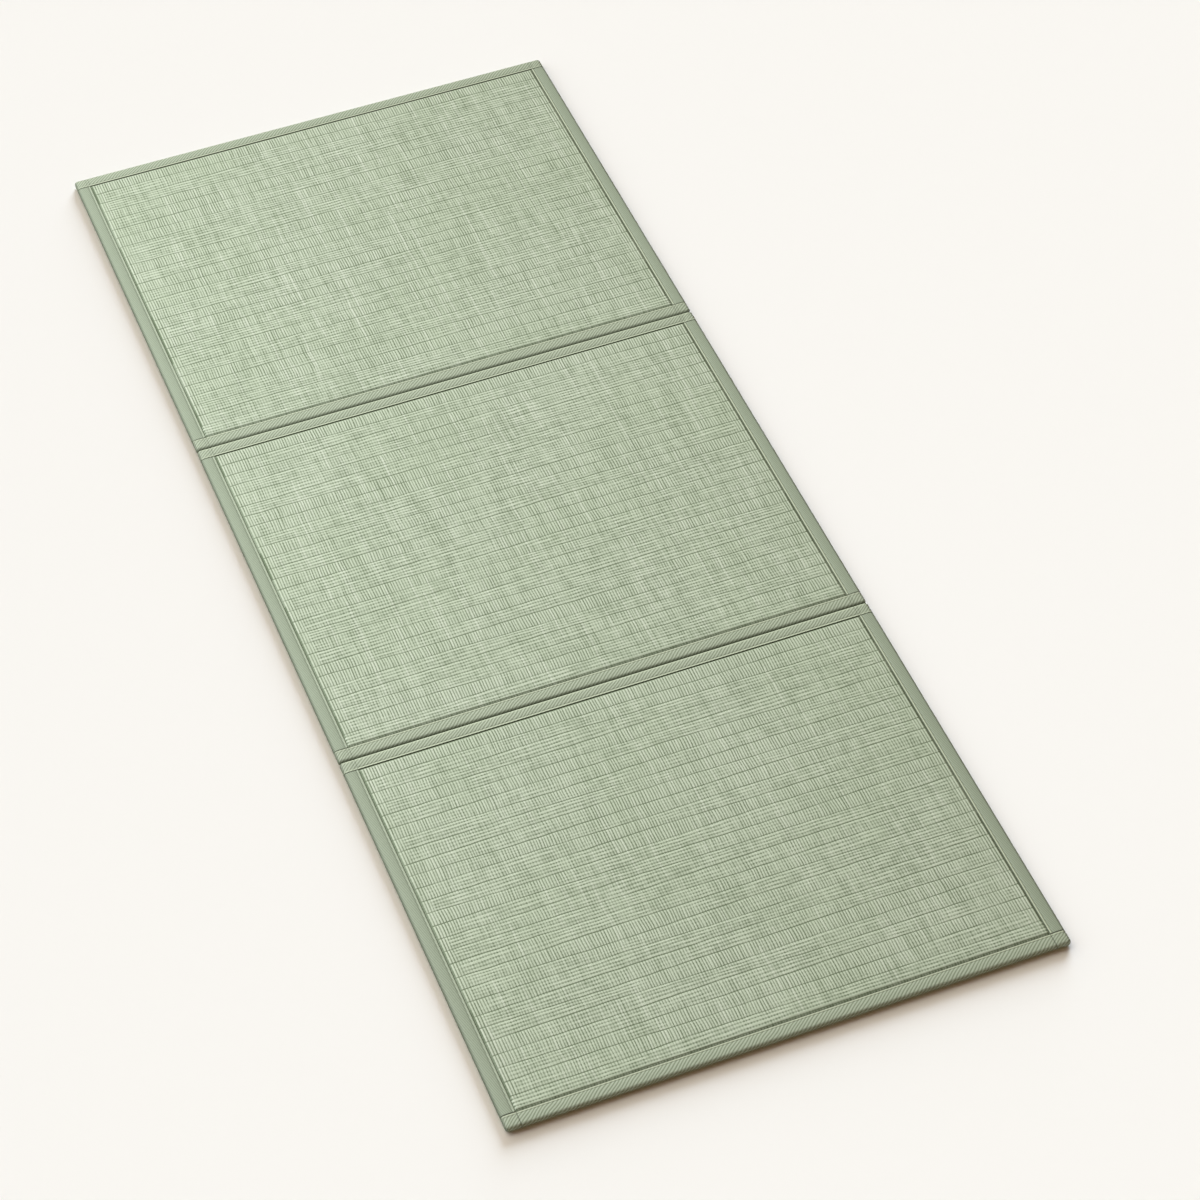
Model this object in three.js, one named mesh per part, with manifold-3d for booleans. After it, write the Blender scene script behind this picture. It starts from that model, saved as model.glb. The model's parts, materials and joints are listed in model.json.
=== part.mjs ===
// Folding tatami mat, lying open and flat: three equal panels in a row, each a slab with a woven rush face,
// bound on all four sides with strips of twill cloth folded over its edges. Neighbouring panels meet edge to
// edge, and the mat folds at these two grooves.
// Millimetres, +Z up, +Y along the mat, with the origin under its middle on the floor.

import * as THREE from 'three';
import { mergeVertices } from 'three/addons/utils/BufferGeometryUtils.js';
import Module from 'manifold-3d';

// The whole mat
const MAT_WIDTH = 800;
const MAT_LENGTH = 2000;
const PANEL_COUNT = 3;
const JOINT_GAP = 0.4;          // between the bindings of neighbouring panels
const FIT_GAP = 0.35;           // between any two pieces of one panel

// The cloth binding, as a section across a panel's edge
const BINDING_WIDTH = 21.5;     // from the panel's edge in to the binding's inner edge, above and below
const BINDING_HEIGHT = 10.6;    // from the floor to the top's outer shoulder
const BINDING_CLOTH = 1.1;
const BINDING_CROWN = 0.35;     // how far the strip swells between its outer edge and its seam
const EDGE_RADIUS = 4.5;        // the turn of the cloth over the panel's edge, above and below
const SEAM_INSET = 2.6;         // the line of stitching, from the binding's inner edge
const SEAM_DEPTH = 0.4;         // how far the stitching pulls the cloth down
const SEAM_HALF_WIDTH = 1.1;
const CROWN_INSETS = [8, 11.5, 15];   // where the crown's flats meet, from the panel's edge
const FOLD_DROP = 0.35;         // the inner fold rounds down to the rush
const CORNER_RADIUS = 5;        // of the panel, seen from above
const INNER_CORNER_RADIUS = 0.8;

// The slab with its woven face
const RUSH_HEIGHT = 11.5;       // from the floor to the top of the ribs
const RUSH_BEVEL = 1.7;         // the face's edge, seen from above
const RIB_COUNT = 27;           // ribs of rush across each panel
const RIB_DEPTH = 0.7;          // of the weft lines between the ribs
const WEFT_STATIONS = 7;        // straight stretches of a weft line from side to side
const WEFT_WANDER = 1.5;        // how far a weft line strays from straight
const RUSH_GAP = 0.6;           // between the binding's inner edge and the face
const BEVEL_START = 0.2;        // the face's edge starts this far below the top of the slab's body

// Points across one rib: where, as a share of its pitch, and how deep below its top, as a share of RIB_DEPTH
const RIB_SECTION = [
  { at: 0, deep: 1 },
  { at: 0.12, deep: 0.3 },
  { at: 0.5, deep: 0 },
  { at: 0.88, deep: 0.3 },
];

// A weft line's two waves: its length, its share of the wander, and how its phase moves from line to line
const WEFT_WAVES = [
  { length: 610, share: 0.65, phaseStep: 2.1 },
  { length: 270, share: 0.35, phaseStep: 3.7 },
];

const CORNER_STEPS = 4;
const EDGE_STEPS = 5;
const CUT_MARGIN = 1;           // how far a cutting box reaches past the cloth

const panelLength = (MAT_LENGTH - JOINT_GAP * (PANEL_COUNT - 1)) / PANEL_COUNT;
const panelPitch = panelLength + JOINT_GAP;
const slabInset = BINDING_CLOTH + FIT_GAP;
const slabTop = BINDING_HEIGHT - slabInset;

const wasm = await Module();
wasm.setup();

// --- closed shapes -------------------------------------------------------------------------------------

// A closed body from rings of points, each ring joined to the next. The first and last ring are closed with
// a flat fan from their first point, or joined to each other where the body goes all the way round.
function loft(rings, capped) {
  const count = rings[0].length;
  const index = [];
  const last = capped ? rings.length - 1 : rings.length;
  for (let r = 0; r < last; r += 1) {
    const here = r * count;
    const next = ((r + 1) % rings.length) * count;
    for (let i = 0; i < count; i += 1) {
      const j = (i + 1) % count;
      index.push(here + i, here + j, next + j);
      index.push(here + i, next + j, next + i);
    }
  }
  if (capped) {
    const end = (rings.length - 1) * count;
    for (let i = 1; i < count - 1; i += 1) {
      index.push(0, i + 1, i);
      index.push(end, end + i, end + i + 1);
    }
  }
  const geometry = new THREE.BufferGeometry();
  const points = rings.flat().flatMap((p) => [p.x, p.y, p.z]);
  geometry.setAttribute('position', new THREE.Float32BufferAttribute(points, 3));
  geometry.setIndex(index);
  return facingOut(geometry);
}

// The same body with its faces turned to point outwards
function facingOut(geometry) {
  const position = geometry.getAttribute('position');
  const index = geometry.getIndex().array;
  const [a, b, c] = [new THREE.Vector3(), new THREE.Vector3(), new THREE.Vector3()];
  let volume = 0;
  for (let i = 0; i < index.length; i += 3) {
    a.fromBufferAttribute(position, index[i]);
    b.fromBufferAttribute(position, index[i + 1]);
    c.fromBufferAttribute(position, index[i + 2]);
    volume += a.dot(b.cross(c));
  }
  if (volume < 0) {
    for (let i = 0; i < index.length; i += 3) {
      [index[i], index[i + 2]] = [index[i + 2], index[i]];
    }
  }
  return geometry;
}

function toSolid(geometry) {
  const plain = geometry.clone();
  plain.deleteAttribute('normal');
  plain.deleteAttribute('uv');
  const merged = mergeVertices(plain, 1e-4);
  const mesh = new wasm.Mesh({
    numProp: 3,
    vertProperties: new Float32Array(merged.getAttribute('position').array),
    triVerts: new Uint32Array(merged.getIndex().array),
  });
  return new wasm.Manifold(mesh);
}

function toGeometry(solid) {
  const mesh = solid.getMesh();
  const geometry = new THREE.BufferGeometry();
  geometry.setAttribute('position', new THREE.Float32BufferAttribute(mesh.vertProperties, 3));
  geometry.setIndex(Array.from(mesh.triVerts));
  return geometry;
}

function boxSolid(low, high) {
  const size = new THREE.Vector3().subVectors(high, low);
  const box = new THREE.BoxGeometry(size.x, size.y, size.z);
  const middle = new THREE.Vector3().addVectors(low, high).multiplyScalar(0.5);
  box.translate(middle.x, middle.y, middle.z);
  return toSolid(box);
}

// A loop round the panel, that far in from its edge and that far above the floor
function panelLoop(inset, height) {
  const halfWidth = MAT_WIDTH / 2 - inset;
  const halfLength = panelLength / 2 - inset;
  const radius = Math.max(CORNER_RADIUS - inset, INNER_CORNER_RADIUS);
  const corners = [[1, 1], [-1, 1], [-1, -1], [1, -1]];
  return corners.flatMap(([sx, sy], quarter) => {
    const points = [];
    for (let step = 0; step <= CORNER_STEPS; step += 1) {
      const angle = (quarter + step / CORNER_STEPS) * Math.PI / 2;
      points.push(new THREE.Vector3(
        sx * (halfWidth - radius) + radius * Math.cos(angle),
        sy * (halfLength - radius) + radius * Math.sin(angle),
        height,
      ));
    }
    return points;
  });
}

// A quarter turn over the panel's edge, as insets and heights, from one angle to another
function edgeTurn(radius, centreInset, centreHeight, fromDegrees, toDegrees) {
  const points = [];
  for (let step = 0; step <= EDGE_STEPS; step += 1) {
    const angle = THREE.MathUtils.degToRad(fromDegrees + (toDegrees - fromDegrees) * step / EDGE_STEPS);
    points.push({
      inset: centreInset - radius * Math.cos(angle),
      height: centreHeight + radius * Math.sin(angle),
    });
  }
  return points;
}

// --- the binding ---------------------------------------------------------------------------------------

// The height of the binding's top at an inset: a low crown, pulled down along the seam
function bindingTop(inset) {
  const seam = BINDING_WIDTH - SEAM_INSET;
  const along = Math.min((inset - EDGE_RADIUS) / (seam - EDGE_RADIUS), 1);
  const crown = BINDING_CROWN * Math.sin(Math.PI * along);
  const pull = Math.max(0, 1 - Math.abs(inset - seam) / SEAM_HALF_WIDTH);
  return BINDING_HEIGHT + crown - SEAM_DEPTH * pull;
}

// The section of the folded cloth, from its edge on the underside, round the outside and over the top to the
// inner fold, and back along the inside of the cloth
function bindingSection() {
  const lowCentre = EDGE_RADIUS;
  const highCentre = BINDING_HEIGHT - EDGE_RADIUS;
  const seam = BINDING_WIDTH - SEAM_INSET;
  const topInsets = [...CROWN_INSETS, seam - SEAM_HALF_WIDTH, seam, seam + SEAM_HALF_WIDTH];
  const innerRadius = EDGE_RADIUS - BINDING_CLOTH;
  return [
    { inset: BINDING_WIDTH, height: 0 },
    ...edgeTurn(EDGE_RADIUS, EDGE_RADIUS, lowCentre, -90, 0),
    ...edgeTurn(EDGE_RADIUS, EDGE_RADIUS, highCentre, 0, 90),
    ...topInsets.map((inset) => ({ inset, height: bindingTop(inset) })),
    { inset: BINDING_WIDTH, height: BINDING_HEIGHT - FOLD_DROP },
    { inset: BINDING_WIDTH, height: BINDING_HEIGHT - BINDING_CLOTH },
    ...edgeTurn(innerRadius, EDGE_RADIUS, highCentre, 90, 0),
    ...edgeTurn(innerRadius, EDGE_RADIUS, lowCentre, 0, -90),
    { inset: BINDING_WIDTH, height: BINDING_CLOTH },
  ];
}

// The whole frame of cloth round one panel, before it is cut into its four strips
function bindingFrame() {
  const rings = bindingSection().map(({ inset, height }) => panelLoop(inset, height));
  return toSolid(loft(rings, false));
}

// The four strips: the cross bindings take the corners, and the side bindings butt against them
function bindingStrips() {
  const frame = bindingFrame();
  const outX = MAT_WIDTH / 2 + CUT_MARGIN;
  const outY = panelLength / 2 + CUT_MARGIN;
  const low = -CUT_MARGIN;
  const high = BINDING_HEIGHT + CUT_MARGIN;
  const seamY = panelLength / 2 - BINDING_WIDTH;
  const sideY = seamY - FIT_GAP;
  const cut = (x0, y0, x1, y1) => {
    const box = boxSolid(new THREE.Vector3(x0, y0, low), new THREE.Vector3(x1, y1, high));
    return toGeometry(frame.intersect(box));
  };
  return {
    left: cut(-outX, -sideY, 0, sideY),
    right: cut(0, -sideY, outX, sideY),
    near: cut(-outX, -outY, outX, -seamY),
    far: cut(-outX, seamY, outX, outY),
  };
}

// --- the slab ------------------------------------------------------------------------------------------

// The body of the slab, which reaches out into the fold of the bindings
function slabBody() {
  const radius = EDGE_RADIUS - slabInset;
  const section = [
    ...edgeTurn(radius, EDGE_RADIUS, EDGE_RADIUS, -90, 0),
    ...edgeTurn(radius, EDGE_RADIUS, slabTop - radius, 0, 90),
  ];
  return toSolid(loft(section.map(({ inset, height }) => panelLoop(inset, height)), true));
}

// How far a weft line strays from straight at x
function weftWander(line, x) {
  const waves = WEFT_WAVES.map(({ length, share, phaseStep }) => (
    share * Math.sin(2 * Math.PI * x / length + line * phaseStep)
  ));
  return WEFT_WANDER * waves.reduce((sum, wave) => sum + wave, 0);
}

// One cut through the woven face along the mat, at x: up over its ribs, or level at the foot of its bevel
function faceRing(x, halfLength, ribbed) {
  const foot = slabTop - BEVEL_START;
  const end = halfLength - RUSH_BEVEL;
  const pitch = 2 * end / RIB_COUNT;
  const height = (deep) => (ribbed ? RUSH_HEIGHT - RIB_DEPTH * deep : foot);
  const ring = [
    new THREE.Vector3(x, halfLength, 0),
    new THREE.Vector3(x, -halfLength, 0),
    new THREE.Vector3(x, -halfLength, foot),
    new THREE.Vector3(x, -end, height(1)),
  ];
  for (let rib = 0; rib < RIB_COUNT; rib += 1) {
    RIB_SECTION.filter(({ at }) => rib + at > 0).forEach(({ at, deep }) => {
      const y = -end + (rib + at) * pitch + weftWander(rib + at, x);
      ring.push(new THREE.Vector3(x, y, height(deep)));
    });
  }
  ring.push(new THREE.Vector3(x, end, height(1)));
  ring.push(new THREE.Vector3(x, halfLength, foot));
  return ring;
}

// The woven face, standing up inside the bindings and reaching down to the floor
function wovenFace() {
  const inset = BINDING_WIDTH + RUSH_GAP;
  const halfWidth = MAT_WIDTH / 2 - inset;
  const halfLength = panelLength / 2 - inset;
  const end = halfWidth - RUSH_BEVEL;
  const rings = [faceRing(-halfWidth, halfLength, false)];
  for (let station = 0; station <= WEFT_STATIONS; station += 1) {
    rings.push(faceRing(-end + 2 * end * station / WEFT_STATIONS, halfLength, true));
  }
  rings.push(faceRing(halfWidth, halfLength, false));
  return toSolid(loft(rings, true));
}

function rushSlab() {
  return toGeometry(slabBody().add(wovenFace()));
}

// --- the mat -------------------------------------------------------------------------------------------

const rushFinish = new THREE.MeshStandardMaterial({ color: 0xbccaa6, roughness: 0.75, metalness: 0 });
const clothFinish = new THREE.MeshStandardMaterial({ color: 0xa3b294, roughness: 0.85, metalness: 0 });

function namedMesh(name, geometry, material) {
  const mesh = new THREE.Mesh(geometry, material);
  mesh.name = name;
  return mesh;
}

const slab = rushSlab();
const strips = bindingStrips();

// Panels are numbered from the far end of the mat
function panel(number) {
  const group = new THREE.Group();
  group.add(namedMesh(`panel_${number}_rush_slab`, slab, rushFinish));
  Object.entries(strips).forEach(([side, strip]) => {
    group.add(namedMesh(`panel_${number}_binding_${side}`, strip, clothFinish));
  });
  group.position.y = ((PANEL_COUNT + 1) / 2 - number) * panelPitch;
  return group;
}

const mat = new THREE.Group();
for (let number = 1; number <= PANEL_COUNT; number += 1) {
  mat.add(panel(number));
}

export default mat;
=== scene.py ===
import json
import math

import bmesh
import bpy
from mathutils import Matrix, Vector

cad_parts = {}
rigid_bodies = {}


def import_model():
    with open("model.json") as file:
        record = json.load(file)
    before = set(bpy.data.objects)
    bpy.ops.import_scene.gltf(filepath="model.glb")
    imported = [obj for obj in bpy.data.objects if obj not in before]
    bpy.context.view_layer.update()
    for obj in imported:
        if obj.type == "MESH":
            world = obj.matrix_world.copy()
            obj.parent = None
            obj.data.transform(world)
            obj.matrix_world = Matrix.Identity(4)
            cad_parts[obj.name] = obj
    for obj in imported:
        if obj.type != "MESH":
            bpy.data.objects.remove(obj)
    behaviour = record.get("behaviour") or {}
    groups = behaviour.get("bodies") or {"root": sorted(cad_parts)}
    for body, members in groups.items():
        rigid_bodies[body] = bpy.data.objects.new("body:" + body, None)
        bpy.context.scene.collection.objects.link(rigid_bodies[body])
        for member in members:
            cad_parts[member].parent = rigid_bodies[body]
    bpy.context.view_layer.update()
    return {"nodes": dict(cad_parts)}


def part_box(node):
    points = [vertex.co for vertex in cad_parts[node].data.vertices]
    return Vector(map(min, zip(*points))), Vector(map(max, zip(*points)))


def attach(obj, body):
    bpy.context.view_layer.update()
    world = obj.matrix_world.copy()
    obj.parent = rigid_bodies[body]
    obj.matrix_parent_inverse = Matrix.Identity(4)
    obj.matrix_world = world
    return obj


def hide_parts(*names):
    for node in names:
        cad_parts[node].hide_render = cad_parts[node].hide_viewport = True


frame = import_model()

mm = 0.001

# --- Rush slabs ----------------------------------------------------------------------------------------
# The three slabs are rush mats: dried rushes run along the mat, and pairs of weft threads tie them down
# into ribs that run across it. Each slab is cut square, and its edge is pressed down all round, where the
# bindings are sewn over it. The pad body under the woven face has a plain backing.

slab_nodes = sorted(name for name in frame["nodes"] if name.endswith("rush_slab"))
rushes = 184                     # bundles of rush side by side in one panel
ribs = 27                        # from weft line to weft line
rows_per_rib = 8
cross_lines = 4                  # in one rib, where the weave is corded
rush_top = 11.5 * mm
rib_depth = 0.45 * mm
rush_depth = 0.32 * mm           # of the gaps between rushes, and between cross lines
face_inset = 21.8 * mm           # from the panel's edge to the foot of the woven face
bevel = 1.9 * mm
body_top = 9.15 * mm
body_inset = 1.45 * mm
body_turn = 3.05 * mm            # radius of the body's edge, hidden in the binding
body_turn_steps = 5
body_corner = 5 * mm             # radius of the slab's corners, seen from above
rush_lean = 2.4 * mm             # sideways, of many rushes together
rush_sway = 2.0 * mm             # sideways, of each rush by itself
top_swell = 0.06 * mm
weft_wander = 1.5 * mm
weft_ripple = 1.6 * mm
weft_waves = [
    {"length": 0.610, "share": 0.65, "phase_step": 2.1},
    {"length": 0.270, "share": 0.35, "phase_step": 3.7},
]
edge_steps = 2                   # vertices down the bevel of the woven face


class Field:
    """A value over a node tree. Sums, products and functions of fields add their nodes to the tree."""

    def __init__(self, tree, socket):
        self.tree = tree
        self.socket = socket

    def made(self, operation, *others):
        node = self.tree.nodes.new("ShaderNodeMath")
        node.operation = operation
        for slot, value in zip(node.inputs, (self, *others)):
            wire(self.tree, value, slot)
        return Field(self.tree, node.outputs[0])

    def __add__(self, other):
        return self.made("ADD", other)

    def __sub__(self, other):
        return self.made("SUBTRACT", other)

    def __mul__(self, other):
        return self.made("MULTIPLY", other)

    def __truediv__(self, other):
        return self.made("DIVIDE", other)

    def __pow__(self, other):
        return self.made("POWER", other)

    def sin(self):
        return self.made("SINE")

    def abs(self):
        return self.made("ABSOLUTE")

    def sign(self):
        return self.made("SIGN")

    def floor(self):
        return self.made("FLOOR")

    def part(self):
        """What is left above the whole number below it."""
        return self.made("FRACT")

    def least(self, other):
        return self.made("MINIMUM", other)

    def most(self, other):
        return self.made("MAXIMUM", other)

    def flipped(self):
        return (self * -1) + 1

    def ramp(self, low, high):
        """Rises smoothly from 0 at low to 1 at high."""
        node = self.tree.nodes.new("ShaderNodeMapRange")
        node.interpolation_type = "SMOOTHSTEP"
        wire(self.tree, self, node.inputs["Value"])
        wire(self.tree, low, node.inputs["From Min"])
        wire(self.tree, high, node.inputs["From Max"])
        return Field(self.tree, node.outputs["Result"])


def wire(tree, value, slot):
    if isinstance(value, Field):
        tree.links.new(value.socket, slot)
    elif isinstance(value, bpy.types.NodeSocket):
        tree.links.new(value, slot)
    else:
        slot.default_value = value


def vector(tree, x=0.0, y=0.0, z=0.0):
    node = tree.nodes.new("ShaderNodeCombineXYZ")
    for slot, value in zip(node.inputs, (x, y, z)):
        wire(tree, value, slot)
    return node.outputs[0]


def parts(tree, socket):
    node = tree.nodes.new("ShaderNodeSeparateXYZ")
    wire(tree, socket, node.inputs[0])
    return [Field(tree, output) for output in node.outputs]


def noise(tree, x=0.0, y=0.0, z=0.0, detail=0.0):
    """Smooth noise about 0.5, one bump for each unit of x, y and z."""
    node = tree.nodes.new("ShaderNodeTexNoise")
    wire(tree, vector(tree, x, y, z), node.inputs["Vector"])
    node.inputs["Scale"].default_value = 1.0
    node.inputs["Detail"].default_value = detail
    return Field(tree, node.outputs[0])


def chance(tree, x=0.0, y=0.0, z=0.0):
    """An even random number from 0 to 1 for each place."""
    node = tree.nodes.new("ShaderNodeTexWhiteNoise")
    node.noise_dimensions = "3D"
    wire(tree, vector(tree, x, y, z), node.inputs["Vector"])
    return Field(tree, node.outputs["Value"])


def kept(tree, geometry, name, value):
    """The geometry with the value stored on its points, where its material can read it."""
    node = tree.nodes.new("GeometryNodeStoreNamedAttribute")
    node.data_type = "FLOAT"
    node.domain = "POINT"
    wire(tree, geometry, node.inputs["Geometry"])
    node.inputs["Name"].default_value = name
    wire(tree, value, node.inputs["Value"])
    return node.outputs["Geometry"]


def woven_face_tree():
    """Geometry Nodes that weave one panel's face, from the foot of its bevel on one side to the other."""
    tree = bpy.data.node_groups.new("woven rush face", "GeometryNodeTree")
    inputs = [
        ("Width", "NodeSocketFloat"),
        ("Length", "NodeSocketFloat"),
        ("Centre Y", "NodeSocketFloat"),
        ("Rushes", "NodeSocketInt"),
        ("Ribs", "NodeSocketInt"),
        ("Rows per Rib", "NodeSocketInt"),
        ("Top", "NodeSocketFloat"),
        ("Foot", "NodeSocketFloat"),
        ("Bevel", "NodeSocketFloat"),
        ("Rib Depth", "NodeSocketFloat"),
        ("Rush Depth", "NodeSocketFloat"),
        ("Wander", "NodeSocketFloat"),
        ("Seed", "NodeSocketFloat"),
        ("Material", "NodeSocketMaterial"),
    ]
    for name, kind in inputs:
        tree.interface.new_socket(name, in_out="INPUT", socket_type=kind)
    tree.interface.new_socket("Geometry", in_out="OUTPUT", socket_type="NodeSocketGeometry")
    entry = tree.nodes.new("NodeGroupInput")
    given = {name: Field(tree, entry.outputs[name]) for name, kind in inputs}
    width, length, seed = given["Width"], given["Length"], given["Seed"]

    grid = tree.nodes.new("GeometryNodeMeshGrid")
    grid.inputs["Size X"].default_value = 1.0
    grid.inputs["Size Y"].default_value = 1.0
    wire(tree, given["Rushes"] * 2 + (2 * edge_steps + 1), grid.inputs["Vertices X"])
    wire(tree, given["Ribs"] * given["Rows per Rib"] + (2 * edge_steps + 1), grid.inputs["Vertices Y"])
    place = tree.nodes.new("GeometryNodeInputPosition")
    across, along, flat = parts(tree, place.outputs[0])

    # Counted in rushes and in ribs, with the steps of the bevel past either end
    edge_rush = edge_steps / 2
    edge_rib = given["Rows per Rib"] ** -1 * edge_steps
    rush_reach = (across + 0.5) * (given["Rushes"] + 2 * edge_rush) - edge_rush
    rib_reach = (along + 0.5) * (given["Ribs"] + edge_rib * 2) - edge_rib
    rush = rush_reach.most(0).least(given["Rushes"])
    rib = rib_reach.most(0).least(given["Ribs"])
    over_side = (rush_reach - rush) / edge_rush
    over_end = (rib_reach - rib) / edge_rib

    # Where a rush lies in its rib, and how the rushes lean and the weft lines wander
    half_x = (rush / given["Rushes"] - 0.5) * width
    inner = (rib * rows_per_rib).least(1) * ((given["Ribs"] - rib) * rows_per_rib).least(1)
    wander = half_x * 0
    for wave in weft_waves:
        phase = half_x * (2 * math.pi / wave["length"]) + rib * wave["phase_step"]
        wander = wander + phase.sin() * wave["share"]
    ripple = noise(tree, half_x * 38, rib * 1.3, seed) - 0.5
    from_side = ((half_x.abs() * -1 + width * 0.5) * 60).least(1)
    lean = noise(tree, half_x * 22, rib * 0.7, seed + 20) - 0.5
    uneven = noise(tree, rush * 0.83, rib * 0.08, seed + 40) - 0.5
    x = half_x + (lean * rush_lean + uneven * rush_sway) * from_side
    rib_pitch = length / given["Ribs"]
    y = rib * rib_pitch - length * 0.5 + (wander * given["Wander"] + ripple * weft_ripple) * inner

    # From plain ribs, where only the rushes show, to corded ones, where lines across them stand out more
    rib_number = (rib + 0.001).floor()
    in_rib = (rib + 0.001).part()
    long_zone = noise(tree, half_x * 3.4, rib_number * 1.31, seed + 60) * 0.58
    short_zone = noise(tree, half_x * 19, rib_number * 1.7 + in_rib * 0.7, seed + 90) * 0.42
    first_rib = (rib * -1 + given["Ribs"]).ramp(0.95, 1.05)
    last_rib = rib.ramp(0.75, 1.0).flipped()
    corded = (long_zone + short_zone).ramp(0.36, 0.6) * first_rib * from_side.ramp(0.5, 1.0)
    corded = corded.most(last_rib)
    rush_show = corded * -0.6 + 1
    pick_show = corded * 0.66 + 0.12
    rush_crest = (rush * math.pi).sin().abs()
    pick_crest = (in_rib * (cross_lines * math.pi)).sin().abs()
    proud = (rush_crest * rush_show + pick_crest * pick_show).least(1)
    pillow = ((in_rib * math.pi).sin().abs().flipped()) ** 2.6
    z = given["Top"] - pillow * given["Rib Depth"] - proud.flipped() * given["Rush Depth"]
    uneven_top = noise(tree, half_x * 16, rib * 0.5, seed + 80) - 0.5
    z = z + uneven_top * top_swell * inner * from_side

    # Down over the bevel
    out_side = over_side.abs() ** 1.3 * over_side.sign() * given["Bevel"]
    out_end = over_end.abs() ** 1.3 * over_end.sign() * given["Bevel"]
    down = over_side.abs().most(over_end.abs())
    z = z + (given["Foot"] - z) * down ** 1.8
    woven = grid.outputs["Mesh"]
    stored = {"rush": rush, "rib": rib, "rush show": rush_show, "pick show": pick_show,
              "down": down, "panel": seed}
    for name, value in stored.items():
        woven = kept(tree, woven, name, value)
    moved = tree.nodes.new("GeometryNodeSetPosition")
    wire(tree, woven, moved.inputs["Geometry"])
    wire(tree, vector(tree, x + out_side, y + out_end + given["Centre Y"], z), moved.inputs["Position"])
    smooth = tree.nodes.new("GeometryNodeSetShadeSmooth")
    wire(tree, moved.outputs[0], smooth.inputs["Geometry"])
    real = tree.nodes.new("GeometryNodeRealizeInstances")
    wire(tree, smooth.outputs[0], real.inputs[0])
    finish = tree.nodes.new("GeometryNodeSetMaterial")
    wire(tree, real.outputs[0], finish.inputs["Geometry"])
    wire(tree, given["Material"], finish.inputs["Material"])
    leave = tree.nodes.new("NodeGroupOutput")
    wire(tree, finish.outputs[0], leave.inputs[0])
    return tree


def colour(red, green, blue):
    """A paint chip's sRGB values, 0 to 255, as the linear colour that shaders take."""
    linear = []
    for value in (red, green, blue):
        share = value / 255
        linear.append(share / 12.92 if share <= 0.04045 else ((share + 0.055) / 1.055) ** 2.4)
    return (*linear, 1.0)


def named_value(tree, name):
    """What the mesh keeps under that name."""
    node = tree.nodes.new("ShaderNodeAttribute")
    node.attribute_name = name
    return Field(tree, node.outputs["Fac"])


def mixed(tree, share, first, second):
    """From the first colour to the second, as share goes from 0 to 1."""
    node = tree.nodes.new("ShaderNodeMix")
    node.data_type = "RGBA"
    wire(tree, share, node.inputs["Factor"])
    wire(tree, first, node.inputs[6])
    wire(tree, second, node.inputs[7])
    return node.outputs[2]


def object_place(tree):
    return parts(tree, tree.nodes.new("ShaderNodeTexCoord").outputs["Object"])


def raised(tree, height, distance, strength=1.0):
    """Surface normals for relief that is too fine for the mesh."""
    bump = tree.nodes.new("ShaderNodeBump")
    bump.inputs["Strength"].default_value = strength
    bump.inputs["Distance"].default_value = distance
    wire(tree, height, bump.inputs["Height"])
    return bump.outputs[0]


shaded_rush = colour(192, 208, 186)
light_rush = colour(196, 211, 191)
dull_rush = colour(172, 189, 164)
pale_rush = colour(212, 224, 208)
# The dark of the woven face: painted shade in its gaps, grooves and bevels, with some dirt in the gaps.
rush_hollow = colour(88, 106, 77)
dark_backing = colour(120, 130, 106)
light_backing = colour(152, 161, 138)


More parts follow.
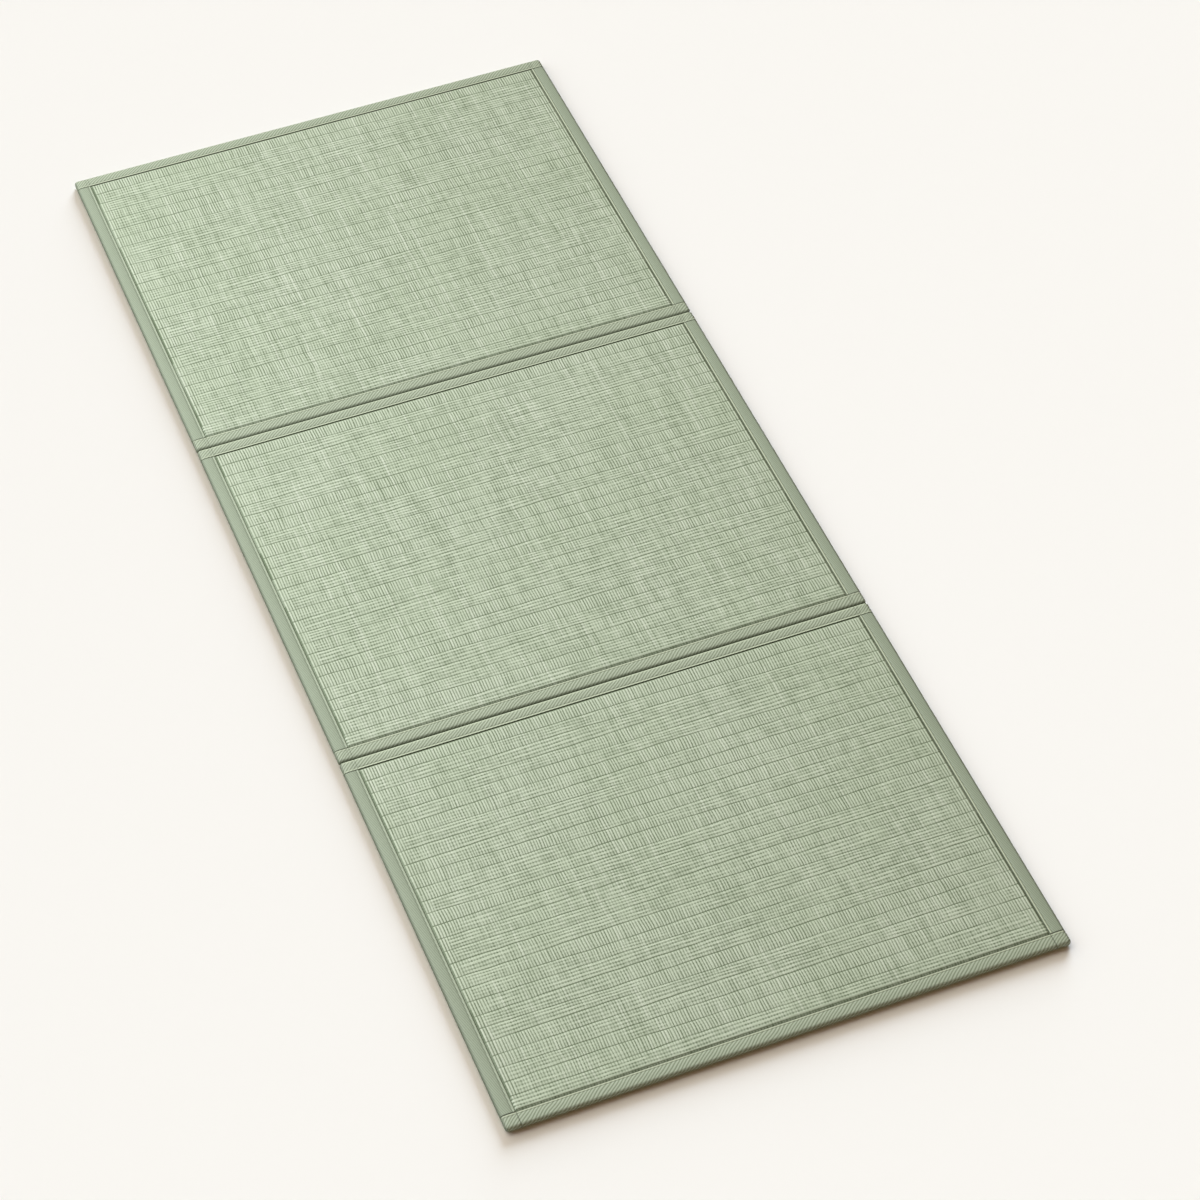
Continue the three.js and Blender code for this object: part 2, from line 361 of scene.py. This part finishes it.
def woven_rush():
    """Dried rushes, darker where the weft ties them down, with painted shade and some dirt in the gaps
    between them, and painted shade at the edges of the face.
    """
    material = bpy.data.materials.new("woven rush")
    material.use_nodes = True
    tree = material.node_tree
    shader = tree.nodes["Principled BSDF"]
    x, y = object_place(tree)[:2]
    rush = named_value(tree, "rush")
    rib = named_value(tree, "rib")
    rush_show = named_value(tree, "rush show")
    pick_show = named_value(tree, "pick show")
    on_face = named_value(tree, "down").ramp(0.0, 0.5).flipped()
    seed = named_value(tree, "panel")
    rush_number = rush.floor()
    rib_number = rib.floor()
    pick_number = (rib * cross_lines).floor()

    # How proud a point lies: on the back of a rush or of a cross line, or down in the gap between them
    stroke = chance(tree, rush_number, (rib * 0.4 + rush_number * 0.61).floor(), seed)
    cord_height = noise(tree, x * 34, pick_number * 3.3, seed + 9).ramp(0.3, 0.7)
    rush_crest = (rush.part() * 2 - 1).abs().ramp(0.2, 1.0).flipped()
    pick_crest = ((rib * cross_lines).part() * 2 - 1).abs().ramp(0.15, 0.95).flipped()
    proud = rush_crest * rush_show * (stroke * 0.4 + 0.8)
    proud = (proud + pick_crest * pick_show * (cord_height * 0.6 + 0.65)).least(1)
    gap_number = (rush + 0.5).floor()
    gap_depth = chance(tree, gap_number, (rib * 0.4 + gap_number * 0.43).floor(), seed + 2) * 0.5 + 0.75
    from_far_end = rib * -1 + ribs
    # Painted shade, with some dirt: the gaps between rushes and cross lines are darkened in colour, less
    # so near the far end.
    gap_shade_and_dirt = proud.flipped() * gap_depth * (pick_show * 0.02 + 0.92)
    gap_shade_and_dirt = gap_shade_and_dirt * (from_far_end.ramp(0.0, 0.15) * 0.5 + 0.5)

    # Weft lines between two ribs: thin, uneven and lost here and there
    from_weft = (rib.part() - 0.5).abs() * -2 + 1
    weft_width = noise(tree, x * 60, rib_number, seed) * 0.1 + 0.06
    weft_strength = noise(tree, x * 14, (rib + 0.5).floor() * 1.7, seed + 5).ramp(0.3, 0.6) * 0.45 + 0.75
    in_weft = from_weft.ramp(0.0, weft_width).flipped() * weft_strength * on_face
    # Painted shade: the foot of the bevel, the groove at the far end and the slope of the rib at the near
    # end are darkened in colour.
    shade_at_foot = named_value(tree, "down").ramp(0.45, 1.0) * (rib.ramp(0.0, 0.1) * 0.4 + 0.3)
    shade_at_far_end = from_far_end.ramp(0.0, 0.07).flipped()
    shade_at_near_end = rib.ramp(0.0, 0.25).flipped() * 0.35
    dark = gap_shade_and_dirt.most(in_weft).most(shade_at_foot).most(shade_at_far_end).most(shade_at_near_end)

    # Rushes differ in tone, each for a few ribs at a time, and some lie pale across several ribs
    tone = chance(tree, rush_number, (rib * 0.6 + rush_number * 0.37).floor(), seed)
    streak = chance(tree, rush_number, (rib * 0.3 + rush_number * 0.53).floor(), seed + 3).ramp(0.8, 0.95)
    patch = noise(tree, x * 5, y * 5, seed, detail=2.0)

    crest = mixed(tree, patch.ramp(0.35, 0.65), shaded_rush, light_rush)
    crest = mixed(tree, tone * 0.4, crest, dull_rush)
    crest = mixed(tree, streak * 0.4, crest, pale_rush)
    # The face darkens toward rush_hollow with the painted shade and dirt in the gaps, the weft lines, and
    # the painted shade at the edges.
    face = mixed(tree, dark.least(1) * 0.92, crest, rush_hollow)
    tree.links.new(face, shader.inputs["Base Color"])

    fibre = noise(tree, x * 3800, y * 55, seed, detail=2.0)
    height = proud * 0.8 + fibre * 0.1 - in_weft * 0.6
    tree.links.new(raised(tree, height, 0.5 * mm, 0.8), shader.inputs["Normal"])
    roughness = dark * 0.2 + tone * 0.08 + 0.5
    tree.links.new(roughness.socket, shader.inputs["Roughness"])
    return material


def plain_backing():
    """Plain and matt, under the slab and round its edge inside the bindings."""
    material = bpy.data.materials.new("plain backing")
    material.use_nodes = True
    tree = material.node_tree
    shader = tree.nodes["Principled BSDF"]
    x, y, z = object_place(tree)
    felt = noise(tree, x * 900, y * 900, z * 900, detail=3.0)
    patch = noise(tree, x * 12, y * 12, 0.0, detail=2.0)
    tint = mixed(tree, felt * 0.6 + patch * 0.4, dark_backing, light_backing)
    tree.links.new(tint, shader.inputs["Base Color"])
    tree.links.new(raised(tree, felt, 0.3 * mm, 0.6), shader.inputs["Normal"])
    shader.inputs["Roughness"].default_value = 0.9
    return material


def shaped_by(tree, name, settings):
    """The mesh that a Geometry Nodes tree makes with these settings, as a plain object."""
    bed = bpy.data.objects.new(name, bpy.data.meshes.new(name))
    bpy.context.collection.objects.link(bed)
    modifier = bed.modifiers.new("shape", "NODES")
    modifier.node_group = tree
    for item in tree.interface.items_tree:
        if item.in_out == "INPUT" and item.name in settings:
            modifier[item.identifier] = settings[item.name]
    depsgraph = bpy.context.evaluated_depsgraph_get()
    made = bpy.data.meshes.new_from_object(bed.evaluated_get(depsgraph))
    bed.modifiers.clear()
    bed.data = made
    return bed


def rounded_loop(half_width, half_length, inset, radius, height, centre_y, steps=4):
    """A loop round a panel, that far in from its edge, counter-clockwise from its right side."""
    turn = max(radius - inset, 0.8 * mm)
    loop = []
    for quarter, (sx, sy) in enumerate(((1, 1), (-1, 1), (-1, -1), (1, -1))):
        for step in range(steps + 1):
            angle = (quarter + step / steps) * math.pi / 2
            x = sx * (half_width - inset - turn) + turn * math.cos(angle)
            y = sy * (half_length - inset - turn) + turn * math.sin(angle)
            loop.append(Vector((x, y + centre_y, height)))
    return loop


def bridged(mesh, lower, upper):
    count = len(lower)
    for i in range(count):
        j = (i + 1) % count
        mesh.faces.new((lower[i], lower[j], upper[j], upper[i]))


def add_pad_body(slab, half_width, half_length, centre_y):
    """Closes the woven face with the body below it, which reaches out into the fold of the binding and
    down to the floor."""
    mesh = bmesh.new()
    mesh.from_mesh(slab.data)
    rim = [edge for edge in mesh.edges if edge.is_boundary]
    turn = [(body_inset + body_turn, body_top)]
    for step in range(1, body_turn_steps + 1):
        angle = math.pi / 2 * step / body_turn_steps
        inset = body_inset + body_turn * (1 - math.sin(angle))
        turn.append((inset, body_top - body_turn * (1 - math.cos(angle))))
    below = [(inset, body_top + body_inset - height) for inset, height in reversed(turn)]
    rings = turn + below + [(face_inset, body_inset), (face_inset, 0.0)]
    loops = []
    for inset, height in rings:
        points = rounded_loop(half_width, half_length, inset, body_corner, height, centre_y)
        loops.append([mesh.verts.new(point) for point in points])
    for upper, lower in zip(loops, loops[1:]):
        bridged(mesh, lower, upper)
    mesh.faces.new(list(reversed(loops[-1])))
    outer = [mesh.edges.get((a, b)) for a, b in zip(loops[0], loops[0][1:] + loops[0][:1])]
    bmesh.ops.triangle_fill(mesh, edges=rim + outer, normal=(0, 0, 1))
    bmesh.ops.recalc_face_normals(mesh, faces=mesh.faces)
    mesh.to_mesh(slab.data)
    mesh.free()


rush_finish = woven_rush()
backing_finish = plain_backing()
face_tree = woven_face_tree()
for number, node in enumerate(slab_nodes):
    low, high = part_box(node)
    centre_y = (low[1] + high[1]) / 2
    half_width = (high[0] - low[0]) / 2 + body_inset
    half_length = (high[1] - low[1]) / 2 + body_inset
    slab = shaped_by(face_tree, node.replace("rush_slab", "woven_rush"), {
        "Width": 2 * (half_width - face_inset - bevel),
        "Length": 2 * (half_length - face_inset - bevel),
        "Centre Y": centre_y,
        "Rushes": rushes,
        "Ribs": ribs,
        "Rows per Rib": rows_per_rib,
        "Top": rush_top,
        "Foot": body_top,
        "Bevel": bevel,
        "Rib Depth": rib_depth,
        "Rush Depth": rush_depth,
        "Wander": weft_wander,
        "Seed": 3.0 + 11.0 * number,
        "Material": rush_finish,
    })
    slab.data.materials[0] = backing_finish
    add_pad_body(slab, half_width, half_length, centre_y)
    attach(slab, "root")
    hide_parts(node)

# --- Bindings ------------------------------------------------------------------------------------------
# Strips of cotton twill, folded over the slab's edge and sewn through near their inner fold. The cross
# bindings go on last: they run over the full width, and cover the ends of the side bindings, which leave
# two faint lines in the cloth above them.

strip_width = 21.5 * mm
strip_top = 10.6 * mm
cloth = 1.1 * mm
turn_radius = 4.5 * mm           # of the cloth over the edge, above and below
plan_radius = 5.0 * mm           # of a panel's corner, seen from above
crown = 0.35 * mm
stitch_line = 17.8 * mm          # from the panel's edge
stitch_depth = 0.45 * mm
stitch_width = 0.8 * mm
lip_line = 19.6 * mm             # the swell between the stitches and the fold
lip_rise = 0.3 * mm
lip_width = 1.1 * mm
fold_radius = 0.9 * mm
tuck_width = 0.5 * mm            # of the crease where a side binding goes under a cross binding
side_tuck_depth = 0.45 * mm
cross_tuck_depth = 0.3 * mm
side_tuck_line = 20.8 * mm       # from the edge, where the cloth turns down against the slab
cross_tuck_line = 20.3 * mm
ghost_width = 0.6 * mm           # of a side binding's edge, felt through the cross binding
highlight_line = 2.9 * mm             # from the edge, where a cross binding has a painted highlight in the joint
highlight_width = 1.3 * mm
highlight_short = 9 * mm              # how far from its ends that painted highlight begins
# Reach of the painted shade on a near strip's outer turn in a joint.
joint_shade_reach = 6 * mm
# Reach of the painted shade along a panel's long edges.
side_shade_width = 4 * mm
turn_steps = 7
corner_steps = 5
strip_step = 12 * mm
beside_tuck = [0, 0.25 * mm, 0.5 * mm, 0.8 * mm, 1.2 * mm]


def arc(radius, inset, height, start, end):
    """A turn in the cloth's section, as insets and heights. 0 degrees faces outwards and 90 up."""
    points = []
    for step in range(turn_steps + 1):
        angle = math.radians(start + (end - start) * step / turn_steps)
        points.append((inset - radius * math.cos(angle), height + radius * math.sin(angle)))
    return points


def strip_section():
    """The folded strip's section: its outside from the lower edge to the upper fold, then its inside."""
    outside = [(strip_width, 0.0), (12 * mm, 0.0)]
    outside += arc(turn_radius, turn_radius, turn_radius, -90, 0)
    outside += arc(turn_radius, turn_radius, strip_top - turn_radius, 0, 90)
    fold_start = strip_width - fold_radius
    insets = [6, 8, 10, 12, 14, 15.6, 16.6, 17.2, 17.6, 18, 18.4, 18.8, 19.2, 19.6, 20, 20.3]
    for inset in (value * mm for value in insets):
        swell = math.sin(math.pi * min(1, (inset - turn_radius) / (stitch_line - turn_radius)))
        outside.append((inset, strip_top + crown * max(0, swell)))
    for step in range(5):
        angle = math.pi / 2 * step / 4
        height = strip_top - fold_radius * (1 - math.cos(angle))
        outside.append((fold_start + fold_radius * math.sin(angle), height))
    inner_turn = turn_radius - cloth
    inside = [(strip_width - 0.3 * mm, strip_top - cloth)]
    inside += arc(inner_turn, turn_radius, strip_top - turn_radius, 90, 0)
    inside += arc(inner_turn, turn_radius, turn_radius, 0, -90)
    inside += [(strip_width, cloth)]
    return outside, inside


def outward(points):
    """The direction in which each point of a section faces, from its neighbours on either side."""
    facing = []
    for i in range(len(points)):
        before = points[max(i - 1, 0)]
        after = points[min(i + 1, len(points) - 1)]
        run, rise = after[0] - before[0], after[1] - before[1]
        length = math.hypot(run, rise)
        facing.append((-rise / length, run / length))
    return facing


def unfolded(points):
    """How far in from the edge each point of the outside lies once the cloth is laid flat."""
    flat = [0.0]
    for before, after in zip(points, points[1:]):
        flat.append(flat[-1] + math.hypot(after[0] - before[0], after[1] - before[1]))
    return [length - flat[-1] + strip_width for length in flat]


def dent(distance, width):
    return math.exp(-(distance / width) ** 2)


def seam(inset, lip_highlight, tuck_line):
    """Beside the inner fold: how far the stitches draw the cloth in, how dark it is with painted shade
    along the stitches, and how pale with a painted highlight on the lip. It has painted shade from
    tuck_line on, where it turns down against the slab."""
    stitch = dent(inset - stitch_line, stitch_width)
    lip = dent(inset - lip_line, lip_width)
    tucked = min(max((inset - tuck_line) / (0.4 * mm), 0), 1)
    return stitch_depth * stitch - lip_rise * lip, max(0.35 * stitch, tucked), lip_highlight * lip


def side_shade(inset):
    """Painted shade: the long edges are darkened in colour, most at the outer edge, fading in over
    side_shade_width.
    """
    return 0.8 * max(0, 1 - inset / side_shade_width)


def swept_strip(name, stations, path, worked):
    """Sweeps the folded section along a strip. path gives a point's place from its inset and station, and
    worked tells how far the cloth is drawn in there, how dark it is with painted shade and how pale with
    a painted highlight."""
    outside, inside = strip_section()
    section = outside + inside
    facing = outward(outside) + [(0.0, 0.0)] * len(inside)
    flat = unfolded(outside) + [inset for inset, height in inside]
    mesh = bmesh.new()
    darkened = mesh.verts.layers.float.new("dark")
    painted_highlight = mesh.verts.layers.float.new("painted_highlight")
    laid = mesh.loops.layers.uv.new("laid flat")
    rows = []
    cloth_place = {}
    for station in stations:
        row = []
        for k, (inset, height) in enumerate(section):
            depth, dark, highlight = worked(inset, station) if k < len(outside) else (0.0, 0.0, 0.0)
            if facing[k][1] < -0.5:
                depth, dark, highlight = 0.0, 0.0, 0.0
            sunk = (inset - depth * facing[k][0], height - depth * facing[k][1])
            vertex = mesh.verts.new((*path(sunk[0], station), sunk[1]))
            vertex[darkened] = min(dark, 1.0)
            vertex[painted_highlight] = min(highlight, 1.0)
            cloth_place[vertex] = path(flat[k], station)
            row.append(vertex)
        rows.append(row)
    count = len(section)
    for one, two in zip(rows, rows[1:]):
        for k in range(count):
            n = (k + 1) % count
            face = mesh.faces.new((one[k], two[k], two[n], one[n]))
            face.smooth = k < len(outside) - 1
    for row in (rows[0], rows[-1]):
        mesh.faces.new(row)
    for face in mesh.faces:
        for loop in face.loops:
            loop[laid].uv = cloth_place[loop.vert]
    bmesh.ops.remove_doubles(mesh, verts=mesh.verts, dist=1e-6)
    bmesh.ops.dissolve_degenerate(mesh, edges=mesh.edges, dist=1e-7)
    bmesh.ops.recalc_face_normals(mesh, faces=mesh.faces)
    data = bpy.data.meshes.new(name)
    mesh.to_mesh(data)
    mesh.free()
    strip = bpy.data.objects.new(name, data)
    bpy.context.collection.objects.link(strip)
    return strip


def spaced(start, end, close, step):
    """Stations from start to end: close together at the offsets given from either end, even between."""
    near = [start + offset for offset in close]
    far = [end - offset for offset in reversed(close)]
    count = max(2, round((far[0] - near[-1]) / step))
    between = [near[-1] + (far[0] - near[-1]) * i / count for i in range(1, count)]
    return near + between + far


twill_hollow = colour(112, 126, 101)
# The colour of the painted highlight on the bindings.
highlit_twill = colour(201, 215, 189)
# The colour of the painted shade on the bindings.
painted_shade_twill = colour(48, 57, 40)


def twill_weave():
    """The cloth's slanted ridges of yarn, pale with a painted highlight on its lips and edges, and dark
    with painted shade in its stitches, creases, folds and joints.
    """
    tree = bpy.data.node_groups.new("twill weave", "ShaderNodeTree")
    inputs = [
        ("Laid Flat", "NodeSocketVector"),
        ("Slant", "NodeSocketFloat"),
        ("Ridge Spacing", "NodeSocketFloat"),
        ("Contrast", "NodeSocketFloat"),
        ("Shaded Yarn", "NodeSocketColor"),
        ("Light Yarn", "NodeSocketColor"),
        ("Highlight", "NodeSocketFloat"),
        ("Dark", "NodeSocketFloat"),
    ]
    outputs = [
        ("Face", "NodeSocketColor"),
        ("Height", "NodeSocketFloat"),
        ("Roughness", "NodeSocketFloat"),
    ]
    for name, kind in inputs:
        tree.interface.new_socket(name, in_out="INPUT", socket_type=kind)
    for name, kind in outputs:
        tree.interface.new_socket(name, in_out="OUTPUT", socket_type=kind)
    entry = tree.nodes.new("NodeGroupInput")
    given = {name: Field(tree, entry.outputs[name]) for name, kind in inputs}
    u, v = parts(tree, given["Laid Flat"])[:2]
    lean_u = given["Slant"].made("COSINE")
    lean_v = given["Slant"].made("SINE")
    drift = noise(tree, u * 40, v * 40) * 0.9
    across = (v * lean_u - u * lean_v) / given["Ridge Spacing"] + drift
    along = u * lean_u + v * lean_v
    gap = (across.part() * 2 - 1).abs().ramp(0.2, 0.9)
    yarn = noise(tree, along * 300, across.floor() * 3.1, 0.0, detail=2.0)
    patch = noise(tree, u * 14, v * 14, 4.0, detail=3.0)
    fibre = noise(tree, u * 1500, v * 1500, 0.0, detail=1.0)

    crest_tone = yarn * 0.5 + patch * 0.35 + fibre * 0.15
    crest = mixed(tree, crest_tone, given["Shaded Yarn"], given["Light Yarn"])
    face = mixed(tree, gap * given["Contrast"], crest, twill_hollow)
    face = mixed(tree, given["Highlight"], face, highlit_twill)
    face = mixed(tree, given["Dark"] * 0.9, face, painted_shade_twill)
    leave = tree.nodes.new("NodeGroupOutput")
    wire(tree, face, leave.inputs["Face"])
    wire(tree, gap.flipped() * given["Contrast"] + yarn * 0.2, leave.inputs["Height"])
    wire(tree, gap * 0.15 + 0.62, leave.inputs["Roughness"])
    return tree


def twill_cloth(name, weave, slant, ridge_spacing, contrast, shaded, light):
    """Cotton twill. slant is the angle in degrees of its ridges to the strip."""
    material = bpy.data.materials.new(name)
    material.use_nodes = True
    tree = material.node_tree
    shader = tree.nodes["Principled BSDF"]
    place = tree.nodes.new("ShaderNodeUVMap")
    place.uv_map = "laid flat"
    twill = tree.nodes.new("ShaderNodeGroup")
    twill.node_tree = weave
    wire(tree, place.outputs[0], twill.inputs["Laid Flat"])
    wire(tree, named_value(tree, "painted_highlight"), twill.inputs["Highlight"])
    wire(tree, named_value(tree, "dark"), twill.inputs["Dark"])
    twill.inputs["Slant"].default_value = math.radians(slant)
    twill.inputs["Ridge Spacing"].default_value = ridge_spacing
    twill.inputs["Contrast"].default_value = contrast
    twill.inputs["Shaded Yarn"].default_value = shaded
    twill.inputs["Light Yarn"].default_value = light
    wire(tree, twill.outputs["Face"], shader.inputs["Base Color"])
    wire(tree, raised(tree, twill.outputs["Height"], 0.3 * mm, 0.7), shader.inputs["Normal"])
    wire(tree, twill.outputs["Roughness"], shader.inputs["Roughness"])
    return material


twill = twill_weave()
# Both are the same cloth; the cross twill's colours are lighter than the side twill's, a painted sheen,
# for the cloth runs the other way.
cross_twill = twill_cloth(
    "cross twill", twill, slant=41, ridge_spacing=4.0 * mm, contrast=0.75,
    shaded=colour(161, 177, 156), light=colour(187, 200, 181))
side_twill = twill_cloth(
    "side twill", twill, slant=15, ridge_spacing=2.7 * mm, contrast=0.42,
    shaded=colour(145, 160, 140), light=colour(164, 179, 160))


def finished_binding(strip, cloth_finish, node):
    """Gives a swept strip its cloth, hangs it on the root body, and hides the part that it stands for."""
    strip.data.materials.append(cloth_finish)
    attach(strip, "root")
    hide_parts(node)
    outside, inside = strip_section()
    unfolded_width = strip_width - unfolded(outside)[0]


# Side bindings: down the two long edges of each panel, between its cross bindings.

def side_binding(name, side, half_width, start, end, lip_highlight):
    def path(inset, y):
        return side * (half_width - inset), y

    def worked(inset, y):
        depth, dark, highlight = seam(inset, lip_highlight, side_tuck_line)
        tuck = dent(min(y - start, end - y), tuck_width)
        # The crease under the cross binding and the long outer edge are darkened in colour: painted
        # shade.
        return depth + side_tuck_depth * tuck, max(dark, 0.9 * tuck, side_shade(inset)), highlight

    stations = spaced(start, end, beside_tuck + [2 * mm, 5 * mm], strip_step)
    return swept_strip(name, stations, path, worked)


for node in sorted(frame["nodes"]):
    if node.endswith(("binding_left", "binding_right")):
        low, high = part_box(node)
        side = 1 if node.endswith("right") else -1
        # Painted highlight on the lip: stronger on the right side strips than on the left.
        lip_highlight = 0.9 if side > 0 else 0.3
        strip = side_binding(node + "_cloth", side, max(-low[0], high[0]), low[1], high[1], lip_highlight)
        for loop in strip.data.uv_layers["laid flat"].data:     # along the strip, like the cross strips'
            loop.uv = (loop.uv[1], -loop.uv[0])
        finished_binding(strip, side_twill, node)


# Cross bindings: over the far and the near edge of each panel, with the corners folded over the sides.

def cross_binding(name, facing, half_width, edge_y, shown, edge_highlight, joint_shade):
    """facing is 1 where the panel's edge is its far one. shown is how strongly the side bindings' edges
    show through where this binding covers them, edge_highlight how strong a painted highlight its outer
    edge has, and grime how strong the painted shade on its outer turn is in the joint."""
    limit = plan_radius

    def path(inset, station):
        part, sx, t = station
        if part == "side":
            x, y = half_width - inset, -max(t, inset, limit)
        elif part == "corner":
            out = max(limit - inset, 0)
            centre = max(inset, limit)
            x = half_width - centre + out * math.cos(t)
            y = -centre + out * math.sin(t)
        else:
            x, y = min(abs(t), half_width - max(inset, limit)), -inset
        return sx * x, edge_y + facing * y

    def worked(inset, station):
        x, y = path(inset, station)
        from_side = half_width - abs(x)
        from_end = (edge_y - y) * facing
        depth, dark, highlight = seam(from_end, 0.9, cross_tuck_line)
        if from_side < strip_width:
            depth, dark, highlight = depth * shown, dark * shown, highlight * shown
        # The side bindings' edges and stitches felt through this binding: dents, darkened in colour with
        # painted shade.
        hidden_edge = dent(from_side - strip_width - 0.2 * mm, ghost_width)
        hidden_stitch = dent(from_side - stitch_line, ghost_width) * (1 - shown) * 1.5
        ghost = max(hidden_edge, hidden_stitch) * shown
        if from_side > strip_width + 3 * mm:
            ghost = 0
        if station[0] == "side":
            tuck = dent(from_end - strip_width, tuck_width)
            depth += cross_tuck_depth * tuck
            # The crease is darkened in colour: painted shade.
            dark = max(dark, 0.9 * tuck)
        # Painted highlight on the outer edge in a joint, and on the lip.
        short_of_side = min(1, from_side / highlight_short) ** 2
        highlight = max(highlight, edge_highlight * dent(from_end - highlight_line, highlight_width) * short_of_side)
        # Painted shade on the outer turn in a joint, and along the panel's long edges.
        dark = max(dark, joint_shade * max(0, 1 - from_end / joint_shade_reach) ** 1.5, side_shade(from_side))
        return max(depth, stitch_depth * ghost), max(dark, 0.8 * ghost), highlight

    down_side = [strip_width - offset for offset in beside_tuck + [1.7 * mm]]
    down_side += [value * mm for value in (19.4, 19.0, 18.6, 18.0, 16, 13, 10, 7, 5)]
    ghosts = [offset * mm for offset in (5, 8, 12, 16, 17.6, 18.2, 18.6, 19.0, 19.4, 20.0, 20.6,
                                         21.1, 21.4, 21.7, 22.0, 22.4, 23.0, 24.0)]
    along = spaced(-half_width, half_width, ghosts, strip_step)
    turns = [math.pi / 2 * step / corner_steps for step in range(1, corner_steps)]
    stations = [("side", -1, t) for t in down_side]
    stations += [("corner", -1, angle) for angle in turns]
    stations += [("end", math.copysign(1, x), x) for x in along]
    stations += [("corner", 1, angle) for angle in reversed(turns)]
    stations += [("side", 1, t) for t in reversed(down_side)]
    return swept_strip(name, stations, path, worked)


front_y = min(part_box(node)[0][1] for node in frame["nodes"])
back_y = max(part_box(node)[1][1] for node in frame["nodes"])
for node in sorted(frame["nodes"]):
    if node.endswith(("binding_near", "binding_far")):
        low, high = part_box(node)
        facing = 1 if node.endswith("far") else -1
        edge_y = high[1] if facing > 0 else low[1]
        shown = 1.0 if edge_y == front_y else 0.55
        at_joint = front_y < edge_y < back_y
        # Painted highlight on a far strip's outer edge in a joint.
        edge_highlight = 0.8 if at_joint and facing > 0 else 0.1
        # Painted shade on a near strip's outer turn in a joint.
        joint_shade = 0.85 if at_joint and facing < 0 else 0.0
        strip = cross_binding(node + "_cloth", facing, high[0], edge_y, shown, edge_highlight, joint_shade)
        finished_binding(strip, cross_twill, node)

# --- Floor, light and camera ---------------------------------------------------------------------------
# The mat lies on a plain pale floor, under soft daylight that comes in low from beyond its far end. The
# floor and the mat have lights of their own, so that the shade round the mat stays thin and warm.

floor_size = 60.0
floor_mesh = bpy.data.meshes.new("floor")
floor_mesh.from_pydata(
    [(-floor_size, -floor_size, 0), (floor_size, -floor_size, 0),
     (floor_size, floor_size, 0), (-floor_size, floor_size, 0)], [], [(0, 1, 2, 3)])
floor = bpy.data.objects.new("floor", floor_mesh)
bpy.context.collection.objects.link(floor)
floor_finish = bpy.data.materials.new("pale floor")
floor_finish.use_nodes = True
floor_shader = floor_finish.node_tree.nodes["Principled BSDF"]
floor_shader.inputs["Base Color"].default_value = colour(244, 242, 238)
floor_shader.inputs["Roughness"].default_value = 0.9
floor_shader.inputs["Specular IOR Level"].default_value = 0.0
floor_mesh.materials.append(floor_finish)


def daylight(name, azimuth, elevation, spread, strength, tint):
    """A broad soft light from far off. Azimuth 0 is beyond the far end, and 90 on the right."""
    lamp = bpy.data.lights.new(name, "SUN")
    lamp.energy = strength
    lamp.angle = math.radians(spread)
    lamp.color = tint
    light = bpy.data.objects.new(name, lamp)
    bpy.context.collection.objects.link(light)
    a, e = math.radians(azimuth), math.radians(elevation)
    towards = Vector((math.sin(a) * math.cos(e), math.cos(a) * math.cos(e), math.sin(e)))
    light.rotation_euler = towards.to_track_quat("Z", "Y").to_euler()
    return light


def lights_only(light, name, receivers):
    """Keeps a light to these pieces. name is the name of their collection."""
    lit = bpy.data.collections.new(name)
    for piece in receivers:
        lit.objects.link(piece)
    light.light_linking.receiver_collection = lit


mat_pieces = [piece for piece in bpy.context.collection.objects if piece.name.startswith("panel_")]
sunny = (1.0, 0.98, 0.89)
sky_blue = (0.74, 0.86, 1.0)
shade_blue = (0.66, 0.84, 1.0)
window_light = daylight("window light", -20, 25, spread=80, strength=3.4, tint=sunny)
low_light = daylight("low light on the floor", 30, 12, spread=30, strength=7.6, tint=sky_blue)
side_light = daylight("side light on the floor", -75, 18, spread=36, strength=0.6, tint=shade_blue)
soft_light = daylight("soft light on the mat", -20, 25, spread=80, strength=1.7, tint=sunny)
lights_only(window_light, "floor in window light", [floor])
lights_only(low_light, "floor in low light", [floor])
lights_only(side_light, "floor in side light", [floor])
lights_only(soft_light, "mat in soft light", mat_pieces)

softbox = bpy.data.lights.new("softbox", "AREA")
softbox.shape = "RECTANGLE"
softbox.size = 1.6
softbox.size_y = 1.6
softbox.energy = 152.0
softbox.color = (0.95, 0.97, 1.0)
softbox_object = bpy.data.objects.new("softbox", softbox)
bpy.context.collection.objects.link(softbox_object)
softbox_place = Vector((-2.0, 1.0, 3.2))
softbox_object.location = softbox_place
softbox_object.rotation_euler = softbox_place.to_track_quat("Z", "Y").to_euler()
lights_only(softbox_object, "mat under softbox", mat_pieces)

world = bpy.data.worlds.new("room")
bpy.context.scene.world = world
world.use_nodes = True
room_nodes = world.node_tree.nodes
room = room_nodes["Background"]
room.inputs["Color"].default_value = (1.0, 0.6, 0.3, 1.0)
room.inputs["Strength"].default_value = 0.17
backdrop = room_nodes.new("ShaderNodeBackground")
backdrop.inputs["Color"].default_value = colour(251, 248, 242)
seen = room_nodes.new("ShaderNodeMixShader")
wire(world.node_tree, room_nodes.new("ShaderNodeLightPath").outputs["Is Camera Ray"], seen.inputs[0])
wire(world.node_tree, room.outputs[0], seen.inputs[1])
wire(world.node_tree, backdrop.outputs[0], seen.inputs[2])
wire(world.node_tree, seen.outputs[0], room_nodes["World Output"].inputs["Surface"])
bpy.context.scene.view_settings.view_transform = "Standard"

camera_data = bpy.data.cameras.new("camera")
camera_data.lens = 115.58
camera_data.sensor_width = 36.0
camera = bpy.data.objects.new("camera", camera_data)
bpy.context.collection.objects.link(camera)
camera_place = Vector((-1.2389, -3.7465, 4.0568))
forward = Vector((0.23205, 0.64274, -0.73009)).normalized()
right = Vector((0.9314, -0.36321, -0.02373)).normalized()
up = right.cross(forward).normalized()
turned = Matrix((right, up, -forward)).transposed().to_4x4()
camera.matrix_world = Matrix.Translation(camera_place) @ turned
bpy.context.scene.camera = camera
